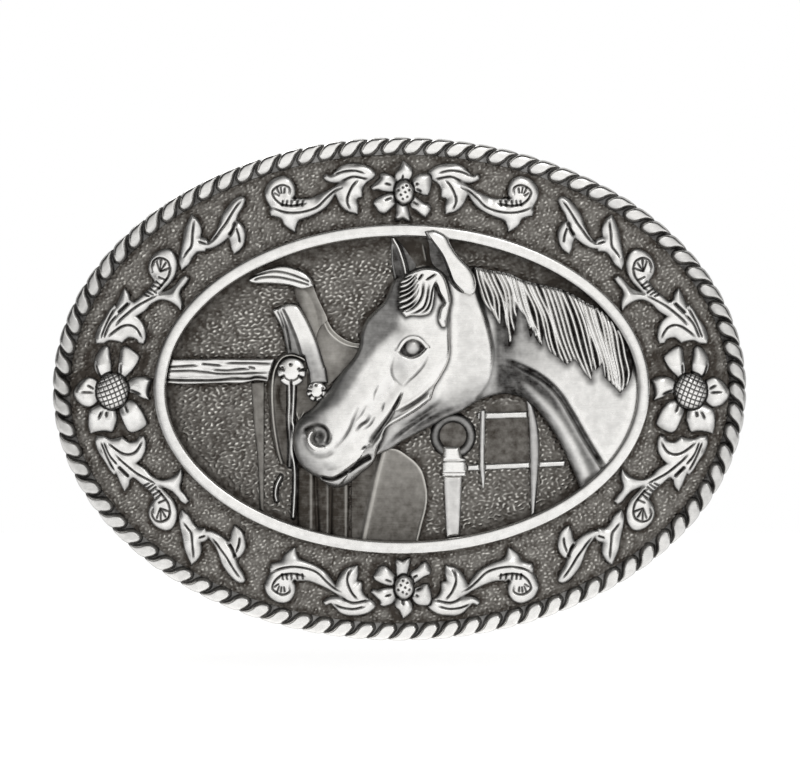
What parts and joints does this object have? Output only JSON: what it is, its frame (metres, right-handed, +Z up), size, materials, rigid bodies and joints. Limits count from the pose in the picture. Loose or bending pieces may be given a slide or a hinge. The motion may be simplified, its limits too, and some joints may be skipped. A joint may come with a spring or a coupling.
{
  "type": "belt buckle",
  "caption": "Oval western trophy buckle: rope edge, scrolled border and a relief of a horse's head over a saddle, with a swinging belt bail and a prong on the back.",
  "frame": {"origin": "centre of the oval on the back face of the plate, where the buckle lies against the belt", "axes": "as worn: +X to the right seen from the front, along the belt; +Z up; +Y back towards the wearer, so the decorated face looks along -Y"},
  "size_m": [0.097, 0.0176, 0.07],
  "materials": {
    "antiqued_silver": "cast relief, satin polish on the high places, dark antiquing in the grooves",
    "oxidised_ground": "stippled ground, blackened",
    "grey_relief": "low relief left mid grey, matted",
    "plated_hardware": "satin nickel plate",
    "bail_wire": "drawn wire, satin nickel plate"
  },
  "bodies": {
    "plate": {"base_plate": "oxidised_ground", "border_frame": "oxidised_ground", "rope_edge": "antiqued_silver", "inner_rim": "antiqued_silver", "hinge_saddle": "plated_hardware", "hinge_barrel": "plated_hardware", "prong_pad": "plated_hardware", "prong": "plated_hardware", "flower_top": "antiqued_silver", "flower_bottom": "antiqued_silver", "flower_left": "antiqued_silver", "flower_right": "antiqued_silver", "flower_top_centre": "antiqued_silver", "flower_bottom_centre": "antiqued_silver", "flower_left_centre": "antiqued_silver", "flower_right_centre": "antiqued_silver", "scroll_top_left": "antiqued_silver", "scroll_top_right": "antiqued_silver", "scroll_bottom_left": "antiqued_silver", "scroll_bottom_right": "antiqued_silver", "scroll_left_upper": "antiqued_silver", "scroll_right_upper": "antiqued_silver", "scroll_left_lower": "antiqued_silver", "scroll_right_lower": "antiqued_silver", "sprig_upper_left": "antiqued_silver", "sprig_upper_right": "antiqued_silver", "sprig_lower_left": "antiqued_silver", "sprig_lower_right": "antiqued_silver", "horse_head": "antiqued_silver", "forelock": "antiqued_silver", "near_ear": "antiqued_silver", "far_ear": "antiqued_silver", "horse_neck": "antiqued_silver", "mane": "antiqued_silver", "saddle_cantle": "antiqued_silver", "saddle_seat": "grey_relief", "saddle_fork": "antiqued_silver", "saddle_skirt": "grey_relief", "saddle_fender": "grey_relief", "saddle_flap": "grey_relief", "stirrup_leathers": "grey_relief", "saddle_strings": "antiqued_silver", "concho_large": "antiqued_silver", "concho_small": "antiqued_silver", "fence_rail": "antiqued_silver", "fence_post": "oxidised_ground", "halter_ring": "antiqued_silver", "halter_strap": "antiqued_silver", "strap_keeper": "antiqued_silver", "gate_rails": "antiqued_silver", "gate_post_left": "antiqued_silver", "gate_post_right": "antiqued_silver"},
    "bail": {"bail": "bail_wire"}
  },
  "joints": [
    {"name": "bail_hinge", "type": "hinge", "parent": "plate", "child": "bail", "pos_m": [-0.018, 0.00391, 0], "axis": [0, 0, -1], "range_deg": [0, 180]}
  ]
}
